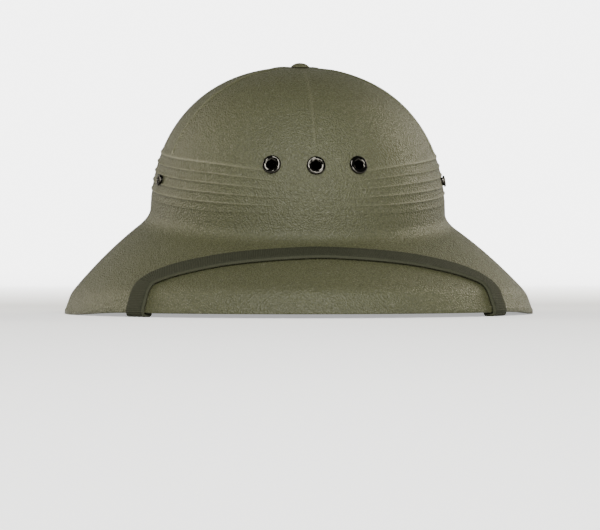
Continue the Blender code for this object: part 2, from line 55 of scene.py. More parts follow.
bl_info = {
    "name": "Pith helmet",
    "version": (1, 0, 0),
    "blender": (4, 5, 0),
    "location": "View3D > Sidebar > Helmet",
    "description": "Builds a moulded pith helmet with its eyelets, strap and headband",
    "category": "Add Mesh",
}


def length(name, description, default):
    """A length that the user can change, in metres."""
    return bpy.props.FloatProperty(
        name=name, description=description, default=default, unit="LENGTH", precision=5)


def angle(name, description, degrees):
    """An angle that the user can change."""
    return bpy.props.FloatProperty(
        name=name, description=description, default=math.radians(degrees), unit="ROTATION")


def factor(name, description, default):
    """A plain number that the user can change."""
    return bpy.props.FloatProperty(name=name, description=description, default=default)


def colour(name, description, default):
    """A colour that the user can change."""
    return bpy.props.FloatVectorProperty(
        name=name, description=description, default=default, size=3, subtype="COLOR",
        min=0.0, max=1.0)


class HelmetRimSizes(bpy.types.PropertyGroup):
    """Sizes of the brim, its flange and the lip under the rim."""

    width: length("Rim width", "Width of the oval rim", 0.310)
    long: length("Rim length", "Length of the oval rim", SHELL_HIGH.y - SHELL_LOW.y)
    widest_ahead: length("Widest ahead", "Widest line's distance ahead of the middle", 0.017)
    front_lift: length("Front lift", "Height of the lip over the floor in front", 0.0024)
    lifted_to: angle("Lifted to", "Turn up to which the rim is fully lifted", 50.0)
    level_from: angle("Level from", "Turn from which the rim meets the floor", 80.0)
    flange_height: length("Flange height", "Height of the flange's top over the lip", 0.014)
    flange_lean: length("Flange lean", "How far the flange spreads down to the lip", 0.0035)
    lip_width: length("Lip width", "Width of the flat lip", 0.0040)
    lip_height: length("Lip height", "Height of the lip", 0.0026)
    lip_flare: length("Lip flare", "How far the lip stands out of the flange", 0.0008)
    lip_blend: length("Lip blend", "Height over which the flange runs into the lip", 0.0014)
    lip_rounding: length("Lip rounding", "Radius of the lip's edges", 0.0006)
    droop: factor("Brim droop", "Share of the brim's fall that grows towards the flange", 0.30)
    bend_reach: length("Bend reach", "Length of the bend on each side of its corner", 0.004)


class HelmetCrownSizes(bpy.types.PropertyGroup):
    """Sizes of the crown with its pleats and seams."""

    wall: length("Wall", "Thickness of the shell", 0.0025)
    width: length("Crown width", "Width of the crown at its foot", 0.1968)
    long: length("Crown length", "Length of the crown at its foot", 0.206)
    height: length("Crown height", "Height of the crown along its axis", 0.1018)
    fullness: factor("Fullness", "Power of the dome's curve, 2 for an ellipse", 2.245)
    ahead: length("Crown ahead", "How far the crown's foot lies ahead of the middle", 0.010)
    foot_height: length("Foot height", "Height of the crown's foot over the floor", 0.0624)
    tilt: angle("Tilt", "Forward lean of the crown", 8.5)
    fillet_up: length("Fillet up", "Reach of the fillet up the crown", 0.007)
    fillet_out: length("Fillet out", "Reach of the fillet out over the brim", 0.010)
    hole: length("Post hole", "Radius of the hole for the button's post", 0.0025)
    pleats: bpy.props.IntProperty(name="Pleats", description="Pleats round the crown", default=5)
    pitch_side: length("Side pitch", "Distance between the pleats at the sides", 0.00605)
    pitch_front: length("Front pitch", "Distance between the pleats in front", 0.0048)
    gather: bpy.props.IntProperty(name="Gather", description="Power that narrows it", default=4)
    lowest_side: length("Lowest at side", "Rise of the lowest pleat at the sides", 0.0204)
    lowest_front: length("Lowest in front", "Rise of the lowest pleat in front", 0.0214)
    pleat_raise: length("Pleat raise", "How far a pleat's crest stands out", 0.0007)
    pleat_recess: length("Pleat recess", "Depth of the groove under a crest", 0.0001)
    shoulder: length("Shoulder", "Height over which the top pleat runs out", 0.004)
    seams: bpy.props.IntProperty(name="Seams", description="Seams down the dome", default=5)
    seam_width: length("Seam width", "Width of a raised seam", 0.0040)
    seam_raise: length("Seam raise", "How far a seam stands out", 0.0008)
    front_seam_foot: length("Front seam foot", "Rise at which the front seam ends", 0.060)
    softer_front: factor("Softer in front", "Share by which the pleats fade in front", 0.85)


class HelmetButtonSizes(bpy.types.PropertyGroup):
    """Sizes of the button on the top."""

    width: length("Button width", "Diameter of the button", 0.012)
    height: length("Button height", "Height of the button", 0.0030)
    edge: length("Button edge", "Height of the button's upright edge", 0.0008)
    post: length("Post width", "Diameter of the button's post", 0.0044)
    post_below: length("Post below", "How far the post goes through the wall", 0.0015)


class HelmetEyeletSizes(bpy.types.PropertyGroup):
    """Sizes and places of the eyelets."""

    front_width: length("Front width", "Outer diameter of a front eyelet", 0.0118)
    front_bore: length("Front bore", "Bore of a front eyelet", 0.0062)
    front_turn: angle("Front turn", "Turn between two front eyelets", 17.5)
    above_pleats: length("Above pleats", "Height of the front eyelets over the pleats", 0.0056)
    side_width: length("Side width", "Outer diameter of a side eyelet", 0.0076)
    side_bore: length("Side bore", "Bore of a side eyelet", 0.0044)
    side_turn: angle("Side turn", "Turn of a side eyelet", 76.0)
    side_rise: length("Side rise", "Rise of a side eyelet", 0.0288)
    metal: length("Metal", "Thickness of the metal", 0.0007)
    flange: length("Flange", "Height of the rolled flange outside", 0.0013)
    roll: length("Roll", "Height of the rolled edge inside", 0.0010)
    crimps: bpy.props.IntProperty(name="Crimps", description="Flats pressed in the flange", default=6)
    crimp_depth: length("Crimp depth", "Depth of a pressed flat", 0.0005)
    gap: length("Gap", "Clearance between an eyelet and the shell", 0.0003)


class HelmetStrapSizes(bpy.types.PropertyGroup):
    """Sizes of the chin strap."""

    width: length("Strap width", "Width of the strap", 0.015)
    thickness: length("Strap thickness", "Thickness of the strap", 0.0015)
    rim_turn: angle("Rim turn", "Turn at which the strap goes over the rim", 46.5)
    end_rise: length("End rise", "Rise of the strap's end inside", 0.026)
    outside_gap: length("Outside gap", "Clearance over the shell's outer face", 0.0006)
    inside_gap: length("Inside gap", "Clearance over the shell's hollow face", 0.0011)
    piping: length("Piping", "Width of the raised edge of the strap", 0.0016)
    piping_raise: length("Piping raise", "How far that edge stands up", 0.00035)
    rib_pitch: length("Rib pitch", "Distance between two ribs of the weave", 0.0011)


class HelmetBandSizes(bpy.types.PropertyGroup):
    """Sizes of the headband."""

    width: length("Band width", "Width of the headband", 0.1808)
    long: length("Band length", "Length of the headband", 0.186)
    ahead: length("Band ahead", "How far the band lies ahead of the middle", 0.012)
    thickness: length("Band thickness", "Thickness of the band", 0.0018)
    foot_height: length("Band foot", "Height of the band's lower edge", 0.041)
    top_rise: length("Band top", "Rise of the band's upper edge", 0.016)
    binding: length("Binding", "Height of the binding round the lower edge", 0.0032)
    binding_proud: length("Binding proud", "How far the binding stands out", 0.0003)
    stitch_pitch: length("Stitch pitch", "Distance between two stitches", 0.0042)


class HelmetColours(bpy.types.PropertyGroup):
    """Colours of the finishes."""

    shell: colour("Shell", "Moulded outer face", (0.050, 0.051, 0.024))
    # Painted shade: the inner face is the shell's own olive made about a quarter darker, as if in
    # shade
    shell_inside: colour("Shell inside", "Moulded inner face", (0.038, 0.040, 0.018))
    metal: colour("Metal", "Eyelets and loops", (0.030, 0.028, 0.024))
    strap: colour("Strap", "Woven strap", (0.017, 0.018, 0.010))
    piping: colour("Piping", "Edge of the strap", (0.025, 0.026, 0.015))
    band: colour("Band", "Headband", (0.016, 0.016, 0.014))
    binding: colour("Binding", "Lower edge of the headband", (0.18, 0.17, 0.12))


class HelmetStage(bpy.types.PropertyGroup):
    """The camera's place and the lights."""

    azimuth: angle("Azimuth", "Camera's turn round the helmet", -6.65)
    distance: length("Distance", "Camera's distance from the helmet's middle", 1.5)
    camera_height: length("Camera height", "Camera's height over the floor", 0.030)
    aim_height: length("Aim height", "Height that the camera looks at", 0.050)
    raised: factor("Raised", "Shift of the picture, as a share of its width", -0.045)
    lens: factor("Lens", "Focal length in millimetres on a 36 mm sensor", 135.8)
    floor_size: length("Floor size", "Half width of the floor", 6.0)
    backdrop_glow: factor("Backdrop glow", "Light of the sweep behind the helmet", 5.0)
    air: factor("Air", "Strength of the light from all round", 0.14)
    sweep: length("Sweep", "Radius of the floor's sweep behind the helmet", 2.0)


GROUPS = {
    "helmet_rim": HelmetRimSizes,
    "helmet_crown": HelmetCrownSizes,
    "helmet_button": HelmetButtonSizes,
    "helmet_eyelets": HelmetEyeletSizes,
    "helmet_strap": HelmetStrapSizes,
    "helmet_band": HelmetBandSizes,
    "helmet_colours": HelmetColours,
    "helmet_stage": HelmetStage,
}

# Route of the strap's right half over the brim: the turn as a share of the turn where it
# meets the rim, and the place across the brim as a share of the way from crown to flange
STRAP_ROUTE = (
    # turn, across
    (0.00, 0.35),
    (0.20, 0.38),
    (0.40, 0.44),
    (0.58, 0.52),
    (0.72, 0.61),
    (0.84, 0.70),
    (0.93, 0.79),
    (0.98, 0.86),
    (1.00, 0.92),
)

# Rows of a pleat: how far below the crest as a share of the pitch, and the height from the
# groove's bottom, 0, to the crest, 1
PLEAT_FORM = (
    # below, height
    (0.00, 1.00),
    (0.05, 0.80),
    (0.11, 0.46),
    (0.18, 0.18),
    (0.27, 0.00),
    (0.40, 0.04),
    (0.60, 0.10),
    (0.76, 0.18),
    (0.86, 0.30),
    (0.92, 0.52),
    (0.97, 0.84),
)

# Columns of the shell beside a seam's middle, as shares of the seam's width
SEAM_STEPS = (0.0, 0.12, 0.24, 0.36, 0.48, 0.60, 0.75, 1.0)

# How finely the shell is laid out
PANEL_COLUMNS = 40
OUTER_DOME_ROWS = 62
INNER_DOME_ROWS = 26
SHOULDER_ROWS = 6
INNER_CROWN_ROWS = 16
FOOT_ROWS = 5
OUTER_BRIM_ROWS = 26
INNER_BRIM_ROWS = 12
BEND_ROWS = 8
FLANGE_ROWS = 6

# Seams: widest share of a panel, least radius that they are set out at, share of the dome
# over which they fade in from the top, and strength and length of end of the front one
SEAM_SHARE = 0.30
LEAST_RADIUS = 0.003
SEAM_FADE = 1.0 / 6.0
FRONT_SEAM = 0.6
FRONT_SEAM_END = 0.008

# Pleats: power that narrows their fading in front, power of the shoulder's swell, steepness
# of the seams' end on the shoulder, and where and how low the lowest pleat runs out
FADE_POWER = 6
SHOULDER_POWER = 2.5
SEAM_END_STEEPNESS = 1.6
LOWEST_BELOW = 0.2
LOWEST_HEIGHT = 0.3

# Painted highlight and dust: share of a pleat's painted highlight that the seams have, the lighter
# colour painted on a crest, and the colour of dust
SEAM_HIGHLIGHT = 0.3
CREST_HIGHLIGHT = (0.16, 0.155, 0.10)
PALE_DUST = (0.42, 0.41, 0.33)

# Eyelets: share of a pleat's raise that lifts the front ones, half length of the drill, share
# of the flange that stands upright, power of its arch, inset of the inner roll, and reach and
# drop of a crimp
FRONT_SEAT = 0.4
DRILL_REACH = 0.006
UPRIGHT = 0.15
ARCH_POWER = 0.8
ROLL_INSET = 0.0002
CRIMP_ROWS = 4.0
CRIMP_DROP = 0.2

# Rows of the strap over the brim, over a bend and between two stations
STRAP_BRIM_ROWS = 4
STRAP_BEND_ROWS = 3
STRAP_STATION_ROWS = 6

# Headband: rounding of its edges and swell of its inner face, as a share of the thickness and
# a length
BAND_ROUNDING = 0.35
BAND_QUILT = 0.0003

# Stitches: share of the binding's height they lie at, half length as a share of the pitch,
# half width and raise
STITCH_LINE = 0.7
STITCH_REACH = 0.3
STITCH_HALF = 0.00035
STITCH_RAISE = 0.00025

# Small steps that find the way of a face
TURN_NUDGE = math.radians(0.5)
RISE_NUDGE = 0.0006
ACROSS_NUDGE = 0.01


def sizes(group):
    """One of the groups of sizes or colours, as the scene holds it."""
    return getattr(bpy.context.scene, "helmet_" + group)


def smooth_step(share):
    """A share from 0 to 1, eased at both ends. It takes numbers and arrays."""
    share = np.clip(share, 0.0, 1.0)
    return share * share * (3.0 - 2.0 * share)


def arc(steps, first, last):
    """Cosine and sine at even steps from one angle to another, in degrees."""
    angles = [math.radians(first + (last - first) * step / steps) for step in range(steps + 1)]
    return [(math.cos(around), math.sin(around)) for around in angles]


def join_xyz(x, y, z):
    """Points from their three coordinates, which may be numbers or arrays."""
    return np.stack(np.broadcast_arrays(x, y, z), axis=-1).astype(float)


def unit(vectors):
    """Vectors at length 1."""
    return vectors / np.linalg.norm(vectors, axis=-1, keepdims=True)


def crown_place(x, y, rise):
    """World place of a point that is given in the crown's leaning frame."""
    crown = sizes("crown")
    lean, upright = math.sin(crown.tilt), math.cos(crown.tilt)
    return join_xyz(
        x,
        -crown.ahead + y * upright - rise * lean,
        crown.foot_height + y * lean + rise * upright,
    )


def crown_point(turn, rise):
    """Smooth outer face of the crown, an oval dome."""
    crown = sizes("crown")
    up = np.minimum(rise / crown.height, 1.0)
    out = (1.0 - up ** crown.fullness) ** (1.0 / crown.fullness)
    x = 0.5 * crown.width * out * np.sin(turn)
    y = -0.5 * crown.long * out * np.cos(turn)
    return crown_place(x, y, rise)


def crown_level(y, rise):
    """World height of the leaning level at a rise, over a place along the helmet."""
    crown = sizes("crown")
    along = y + crown.ahead + rise * math.sin(crown.tilt)
    return crown.foot_height + along * math.tan(crown.tilt) + rise * math.cos(crown.tilt)


def rim_lift(turn):
    """Height of the lip over the floor: none at the sides and behind, a little in front."""
    rim = sizes("rim")
    aside = np.arccos(np.clip(np.cos(turn), -1.0, 1.0))
    return rim.front_lift * smooth_step((rim.level_from - aside) / (rim.level_from - rim.lifted_to))


def rim_reach(turn):
    """Length of the rim's oval ahead of its widest line, or behind it."""
    rim = sizes("rim")
    return 0.5 * rim.long + np.where(np.cos(turn) > 0.0, -rim.widest_ahead, rim.widest_ahead)


def rim_outward(turn):
    """Level direction square to the rim's oval, away from the helmet."""
    rim = sizes("rim")
    return unit(join_xyz(np.sin(turn) / (0.5 * rim.width), -np.cos(turn) / rim_reach(turn), 0.0))


def rim_point(turn, inward, height):
    """A point at the rim, some way in from its outermost edge and up from the lip."""
    rim = sizes("rim")
    edge = join_xyz(
        0.5 * rim.width * np.sin(turn),
        -rim.widest_ahead - rim_reach(turn) * np.cos(turn),
        rim_lift(turn) + height,
    )
    return edge - rim_outward(turn) * inward


def flange_top(turn):
    """Corner between the brim and its flange, before it is rounded."""
    rim = sizes("rim")
    return rim_point(turn, rim.lip_flare + rim.flange_lean, rim.flange_height)


def brim_run(turn):
    """Level distance from the crown's foot to the top of the flange."""
    way = flange_top(turn) - crown_point(turn, 0.0)
    return np.hypot(way[..., 0], way[..., 1])


def brim_point(turn, across):
    """Smooth upper face of the brim, which droops more the further out it is."""
    rim = sizes("rim")
    foot = crown_point(turn, 0.0)
    corner = flange_top(turn)
    share = np.asarray(across)[..., None]
    place = foot + (corner - foot) * share
    fall = across * (1.0 - rim.droop) + rim.droop * across * across
    place[..., 2] = foot[..., 2] + (corner[..., 2] - foot[..., 2]) * fall
    return place


def corner_points(before, corner, after, steps):
    """Points of a soft corner, from one end of the curve to the other."""
    points = []
    for step in range(steps + 1):
        share = step / steps
        first = before + (corner - before) * share
        second = corner + (after - corner) * share
        points.append(first + (second - first) * share)
    return points


def pleat_rise(turn, number):
    """Rise of a pleat's crest. Number 0 is the lowest. They draw together at the front."""
    crown = sizes("crown")
    ahead = np.cos(turn) ** 2
    pitch = crown.pitch_side + (crown.pitch_front - crown.pitch_side) * ahead ** crown.gather
    lowest = crown.lowest_side + (crown.lowest_front - crown.lowest_side) * ahead
    return lowest + number * pitch


def dome_rise(turned):
    """Rise at an angle up the dome's side, which keeps the steps even."""
    crown = sizes("crown")
    return crown.height * np.sin(turned) ** (2.0 / crown.fullness)


def shell_columns():
    """Seam, offset from it in metres and share of the panel after it, for each column."""
    crown = sizes("crown")
    steps = np.array(SEAM_STEPS) * crown.seam_width
    columns = []
    for seam in range(crown.seams):
        columns += [(seam, offset, 0.0) for offset in steps]
        columns += [(seam, steps[-1], k / PANEL_COLUMNS) for k in range(1, PANEL_COLUMNS)]
        columns += [(seam + 1, -offset, 0.0) for offset in steps[:0:-1]]
    return columns


def column_turns(columns, radius):
    """Turns of the columns at a ring of some radius, so that a seam keeps its width."""
    crown = sizes("crown")
    sector = 2.0 * math.pi / crown.seams
    widest = SEAM_SHARE * sector
    turns = []
    for seam, offset, share in columns:
        aside = widest * math.tanh(offset / (radius * widest))
        here = seam * sector + aside
        turns.append(here + share * (sector - 2.0 * aside))
    return np.array(turns)


def brim_line(turn, bend_rows, brim_rows):
    """Places from the crown down over fillet, brim and bend, and the foot of the flange."""
    crown = sizes("crown")
    rim = sizes("rim")
    run = brim_run(turn)
    inner = crown.fillet_out / run
    outer = 1.0 - rim.bend_reach / run
    corner = flange_top(turn)
    foot = rim_point(turn, rim.lip_flare, rim.lip_height + rim.lip_blend)
    below = corner + (foot - corner) * (rim.bend_reach / rim.flange_height)
    line = corner_points(crown_point(turn, crown.fillet_up), crown_point(turn, 0.0),
                         brim_point(turn, inner), bend_rows)
    line += [brim_point(turn, inner + (outer - inner) * row / brim_rows)
             for row in range(1, brim_rows)]
    return line + corner_points(brim_point(turn, outer), corner, below, bend_rows), foot


def pleated_rows(turns, seam):
    """Places and relief of the outer face from the shoulder down to the crown's foot."""
    crown = sizes("crown")
    soft = 1.0 - crown.softer_front * np.maximum(np.cos(turns), 0.0) ** FADE_POWER
    top = pleat_rise(turns, crown.pleats - 1)
    rows = []
    for row in range(1, SHOULDER_ROWS):
        share = row / SHOULDER_ROWS
        seam_end = seam * smooth_step((1.0 - share) * SEAM_END_STEEPNESS)
        swell = soft * crown.pleat_raise * share ** SHOULDER_POWER
        rows.append((crown_point(turns, top + crown.shoulder * (1.0 - share)),
                     np.maximum(seam_end, swell)))
    span = crown.pleat_raise + crown.pleat_recess
    for number in reversed(range(crown.pleats)):
        crest = pleat_rise(turns, number)
        pitch = crest - pleat_rise(turns, number - 1)
        for below, height in PLEAT_FORM:
            if number == 0 and below >= LOWEST_BELOW:
                height = min(height, LOWEST_HEIGHT)
            rows.append((crown_point(turns, crest - pitch * below),
                         soft * (span * height - crown.pleat_recess)))
    start = pleat_rise(turns, -1)
    for row in range(FOOT_ROWS):
        rises = start + (crown.fillet_up - start) * row / FOOT_ROWS
        rows.append((crown_point(turns, rises), np.zeros(len(turns))))
    return rows


def shell_grid(columns, inside):
    """Smooth places of the shell's rings from the post's hole to the flange's foot.

    It gives the places by ring and column, and for the outer face the relief that lifts them.
    """
    crown = sizes("crown")
    seams, offsets, shares = np.array(columns).T
    seam = crown.seam_raise * smooth_step(1.0 - np.abs(offsets) / (0.5 * crown.seam_width))
    seam = np.where(shares > 0.0, 0.0, seam)
    in_front = seams % crown.seams == 0.0
    turns = column_turns(columns, 0.5 * crown.width)
    shoulder = pleat_rise(turns, crown.pleats - 1) + crown.shoulder
    high = math.acos(crown.hole / (0.5 * crown.width))
    low = np.arcsin((shoulder / crown.height) ** (crown.fullness / 2.0))
    dome_rows = INNER_DOME_ROWS if inside else OUTER_DOME_ROWS
    rows = []
    for row in range(dome_rows + 1):
        share = row / dome_rows
        rises = dome_rise(high + (low - high) * share)
        radius = max(crown_point(0.5 * math.pi, rises.mean())[0], LEAST_RADIUS)
        front = FRONT_SEAM * smooth_step((rises - crown.front_seam_foot) / FRONT_SEAM_END + 0.5)
        rows.append((crown_point(column_turns(columns, radius), rises),
                     seam * smooth_step(share / SEAM_FADE) * np.where(in_front, front, 1.0)))
    flat = np.zeros(len(columns))
    if inside:
        for row in range(1, INNER_CROWN_ROWS):
            rises = shoulder + (crown.fillet_up - shoulder) * row / INNER_CROWN_ROWS
            rows.append((crown_point(turns, rises), flat))
    else:
        rows += pleated_rows(turns, np.where(in_front, 0.0, seam))
    line, foot = brim_line(turns, BEND_ROWS, INNER_BRIM_ROWS if inside else OUTER_BRIM_ROWS)
    if not inside:
        below = line[-1]
        line += [below + (foot - below) * row / FLANGE_ROWS for row in range(1, FLANGE_ROWS + 1)]
    rows += [(place, flat) for place in line]
    places, relief = zip(*rows)
    return np.array(places), np.array(relief)


def grid_normals(places):
    """Outward normals of a grid whose rings run down and whose columns run round."""
    down = np.gradient(places, axis=0)
    round_way = np.roll(places, -1, axis=1) - np.roll(places, 1, axis=1)
    return unit(np.cross(down, round_way))


def lip_rings(turns):
    """Rings of the lip from its outer face round its flat bottom to its inner face."""
    rim = sizes("rim")
    soft = rim.lip_rounding
    corners = (
        # inward, height, first angle, last angle
        (soft, soft, 0.0, 90.0),
        (rim.lip_width - soft, soft, 90.0, 180.0),
        (rim.lip_width - soft, rim.lip_height - soft, 180.0, 270.0),
    )
    outline = [(0.0, rim.lip_height)]
    for inward, height, first, last in corners:
        outline += [(inward - soft * cosine, height - soft * sine)
                    for cosine, sine in arc(4, first, last)]
    outline.append((rim.lip_flare + sizes("crown").wall, rim.lip_height))
    return [rim_point(turns, inward, height) for inward, height in outline]


def ring_faces(rings, count, closed):
    """Faces between rings of points, closed round, and from the last ring to the first."""
    faces = []
    for ring in range(rings if closed else rings - 1):
        upper = ring * count
        lower = (ring + 1) % rings * count
        for k in range(count):
            after = (k + 1) % count
            faces.append((upper + k, lower + k, lower + after, upper + after))
    return faces


def flipped(faces):
    """Four-sided faces turned over, each from the same first point."""
    return [(a, d, c, b) for a, b, c, d in faces]


def new_object(name, mesh, *materials):
    """A mesh object in the scene, shaded smooth."""
    thing = bpy.data.objects.new(name, mesh)
    bpy.context.scene.collection.objects.link(thing)
    for material in materials:
        mesh.materials.append(material)
    mesh.shade_smooth()
    return thing


def new_mesh(name, points, faces):
    """A mesh from points and the faces between them."""
    mesh = bpy.data.meshes.new(name)
    mesh.from_pydata(np.asarray(points, dtype=float).reshape(-1, 3).tolist(), [], faces)
    mesh.update()
    return mesh


def seat_frame(turn, rise):
    """Frame on the crown's outer face whose Z axis points straight out of it."""
    side = crown_point(turn + TURN_NUDGE, rise) - crown_point(turn - TURN_NUDGE, rise)
    up = crown_point(turn, rise + RISE_NUDGE) - crown_point(turn, rise - RISE_NUDGE)
    out = Vector(unit(np.cross(side, up)))
    facing = out.to_track_quat("Z", "Y").to_matrix().to_4x4()
    return Matrix.Translation(Vector(crown_point(turn, rise))) @ facing


def top_frame():
    """Frame on the very top of the crown, along its axis."""
    crown = sizes("crown")
    place = Matrix.Translation(Vector(crown_place(0.0, 0.0, crown.height)))
    return place @ Matrix.Rotation(crown.tilt, 4, "X")


def turned_mesh(name, profile, sides, dent=None):
    """A mesh turned round Z from a closed profile of radius and height.

    A dent is a function of the angle and the profile's point. It gives how far that point
    is moved down and in.
    """
    rings = []
    for step in range(sides):
        around = 2.0 * math.pi * step / sides
        ring = []
        for k, (radius, height) in enumerate(profile):
            drop, inward = dent(around, k) if dent else (0.0, 0.0)
            ring.append(((radius - inward) * math.cos(around),
                         (radius - inward) * math.sin(around), height - drop))
        rings.append(ring)
    return new_mesh(name, rings, flipped(ring_faces(sides, len(profile), True)))


def eyelet_places():
    """Name, outer diameter, bore, lift off the crown and frame of each eyelet."""
    crown = sizes("crown")
    eyelets = sizes("eyelets")
    places = []
    rise = float(pleat_rise(0.0, crown.pleats - 1)) + eyelets.above_pleats
    for label, side in (("left", -1), ("middle", 0), ("right", 1)):
        places.append(("eyelet_front_" + label, eyelets.front_width, eyelets.front_bore,
                       FRONT_SEAT * crown.pleat_raise, seat_frame(side * eyelets.front_turn, rise)))
    for label, side in (("left", -1), ("right", 1)):
        places.append(("eyelet_side_" + label, eyelets.side_width, eyelets.side_bore,
                       crown.pleat_raise, seat_frame(side * eyelets.side_turn, eyelets.side_rise)))
    return places


def drill_eyelet_holes(shell):
    """Cut the eyelets' holes through the shell with one group of plain cylinders."""
    eyelets = sizes("eyelets")
    circle = arc(48, 0.0, 360.0)[:-1]
    sides = len(circle)
    points = []
    faces = []
    for _, _, bore, _, seat in eyelet_places():
        radius = 0.5 * bore + eyelets.metal + eyelets.gap
        start = len(points)
        for height in (-DRILL_REACH, DRILL_REACH):
            points += [seat @ Vector((radius * cosine, radius * sine, height))
                       for cosine, sine in circle]
        faces.append([start + k for k in reversed(range(sides))])
        faces.append([start + sides + k for k in range(sides)])
        faces += [[start + k for k in face] for face in flipped(ring_faces(2, sides, False))]
    cutter = new_object("hole_cutter", new_mesh("hole_cutter", points, faces))
    cut = shell.modifiers.new("holes", "BOOLEAN")
    cut.operation = "DIFFERENCE"
    cut.object = cutter
    graph = bpy.context.evaluated_depsgraph_get()
    drilled = bpy.data.meshes.new_from_object(shell.evaluated_get(graph))
    shell.modifiers.clear()
    shell.data = drilled
    bpy.data.objects.remove(cutter)


def feed(tree, value, socket):
    """Give a socket its value: another socket, a number, a colour's triple, or nothing."""
    if isinstance(value, bpy.types.NodeSocket):
        tree.links.new(value, socket)
    elif value is not None:
        socket.default_value = (*value, 1.0) if socket.type == "RGBA" else value


class Bench:
    """Short ways to add nodes to a shader tree, whose textures follow one place."""

    def __init__(self, tree, place):
        self.tree = tree
        self.place = place

    def add(self, kind, inputs, **settings):
        """Add a node with its settings, and its inputs by name or number. It gives its outputs."""
        node = self.tree.nodes.new("ShaderNode" + kind)
        for name, value in settings.items():
            setattr(node, name, value)
        for key, value in inputs.items():
            feed(self.tree, value, node.inputs[key])
        return node.outputs

    def math(self, operation, first, second=None, clamp=False):
        """A Math node. Sockets and numbers go in, and its socket comes out."""
        return self.add("Math", {0: first, 1: second}, operation=operation, use_clamp=clamp)[0]

    def plus(self, first, second, clamp=False):
        """One value added to another."""
        return self.math("ADD", first, second, clamp)

    def times(self, first, second, clamp=False):
        """One value multiplied by another."""
        return self.math("MULTIPLY", first, second, clamp)

    def noise(self, scale, detail, roughness):
        """A Noise texture's value."""
        inputs = {"Vector": self.place, "Scale": scale, "Detail": detail, "Roughness": roughness}
        return self.add("TexNoise", inputs)["Fac"]

    def mix(self, share, first, second):
        """Two colours mixed, which are sockets or triples."""
        return self.add("Mix", {0: share, 6: first, 7: second}, data_type="RGBA")[2]

    def group(self, maker, **values):
        """The outputs of a node group, which is made once, with its values set."""
        tree = bpy.data.node_groups.get(maker.__name__) or maker()
        node = self.tree.nodes.new("ShaderNodeGroup")
        node.node_tree = tree
        for name, value in {"Vector": self.place, **values}.items():
            feed(self.tree, value, node.inputs[name.replace("_", " ")])
        return node.outputs


class Finish(Bench):
    """A material with its Principled shader and the object's own coordinates."""

    def __init__(self, name, roughness, metallic, specular=None):
        self.material = bpy.data.materials.new(name)
        self.material.use_nodes = True
        super().__init__(self.material.node_tree, None)
        self.shader = self.tree.nodes["Principled BSDF"]
        self.place = self.add("TexCoord", {})["Object"]
        self.give("Roughness", roughness)
        self.give("Metallic", metallic)
        self.give("Specular IOR Level", specular)

    def give(self, name, value):
        """Give the shader a value."""
        feed(self.tree, value, self.shader.inputs[name])

    def bump(self, height, strength, distance):
        """A Bump node that gives the shader its normal."""
        inputs = {"Height": height, "Strength": strength, "Distance": distance}
        self.give("Normal", self.add("Bump", inputs)["Normal"])


def new_group(name, inputs, outputs):
    """A shader node group: the bench that fills it, what it is given and what it gives."""
    tree = bpy.data.node_groups.new(name, "ShaderNodeTree")
    tree.interface.new_socket(name="Vector", in_out="INPUT", socket_type="NodeSocketVector")
    for socket, default in inputs.items():
        made = tree.interface.new_socket(name=socket, in_out="INPUT", socket_type="NodeSocketFloat")
        made.default_value = default
    for socket in outputs:
        tree.interface.new_socket(name=socket, in_out="OUTPUT", socket_type="NodeSocketFloat")
    given = tree.nodes.new("NodeGroupInput").outputs
    result = tree.nodes.new("NodeGroupOutput").inputs
    return Bench(tree, given["Vector"]), given, result


def moulded_grain():
    """Fine pebbled grain of moulded plastic: its height, a mask of its pits and a slow drift."""
    bench, given, result = new_group(
        "moulded_grain", {"Pebble Scale": 900.0, "Speckle": 0.5}, ("Height", "Pits", "Drift"))
    inputs = {"Vector": bench.place, "Scale": given["Pebble Scale"], "Smoothness": 0.6}
    cells = bench.add("TexVoronoi", inputs, feature="SMOOTH_F1")["Distance"]
    speckle = bench.times(bench.noise(1700.0, 3.0, 0.6), given["Speckle"])
    pits = bench.math("SUBTRACT", cells, 0.22, clamp=True)
    feed(bench.tree, bench.plus(bench.math("SUBTRACT", 1.0, cells), speckle), result["Height"])
    feed(bench.tree, bench.times(pits, 2.0, clamp=True), result["Pits"])
    feed(bench.tree, bench.noise(14.0, 3.0, 0.55), result["Drift"])
    return bench.tree


def handling_wear():
    """Soft patches where hands and dust have changed the gloss."""
    bench, given, result = new_group("handling_wear", {"Amount": 0.5}, ("Patches", "Dust"))
    patches = bench.times(bench.math("SUBTRACT", bench.noise(9.0, 4.0, 0.6), 0.5), 2.0)
    dust = bench.math("SUBTRACT", bench.noise(420.0, 2.0, 0.5), 0.62, clamp=True)
    feed(bench.tree, bench.times(patches, given["Amount"]), result["Patches"])
    feed(bench.tree, bench.times(dust, given["Amount"]), result["Dust"])
    return bench.tree


def scaled(values, share):
    """A colour made lighter or darker by one share."""
    return tuple(min(1.0, value * share) for value in values)


